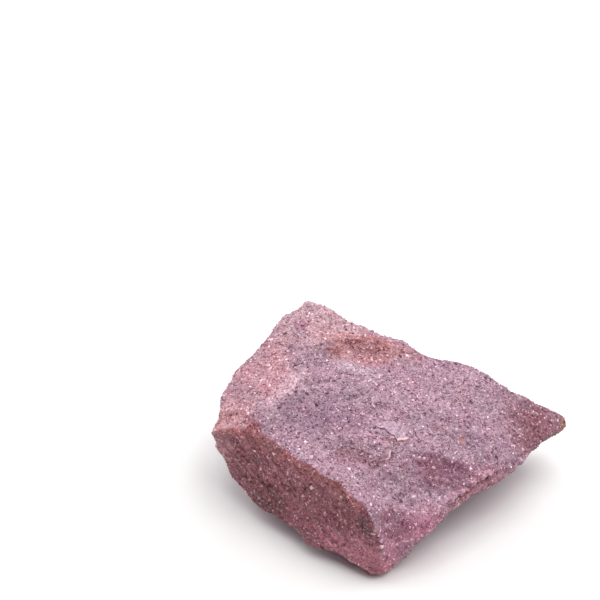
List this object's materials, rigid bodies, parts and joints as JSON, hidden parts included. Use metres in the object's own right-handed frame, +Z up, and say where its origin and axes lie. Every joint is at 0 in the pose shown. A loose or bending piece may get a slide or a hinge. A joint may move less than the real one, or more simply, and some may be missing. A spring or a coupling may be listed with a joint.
{
  "type": "raw jasper stone",
  "caption": "Rough, thick piece of raw jasper with a broken top, steep sides and a pointed end, resting on a small flat spot.",
  "frame": {"origin": "middle of the stone's box, on the surface that it rests on", "axes": "+X along the stone's length towards its pointed end, +Y towards the back, +Z up"},
  "size_m": [0.0602, 0.0444, 0.023],
  "materials": {
    "stone": "rough broken surface of sugary mauve-pink grains"
  },
  "bodies": {
    "root": {"jasper_stone": "stone"}
  },
  "joints": []
}
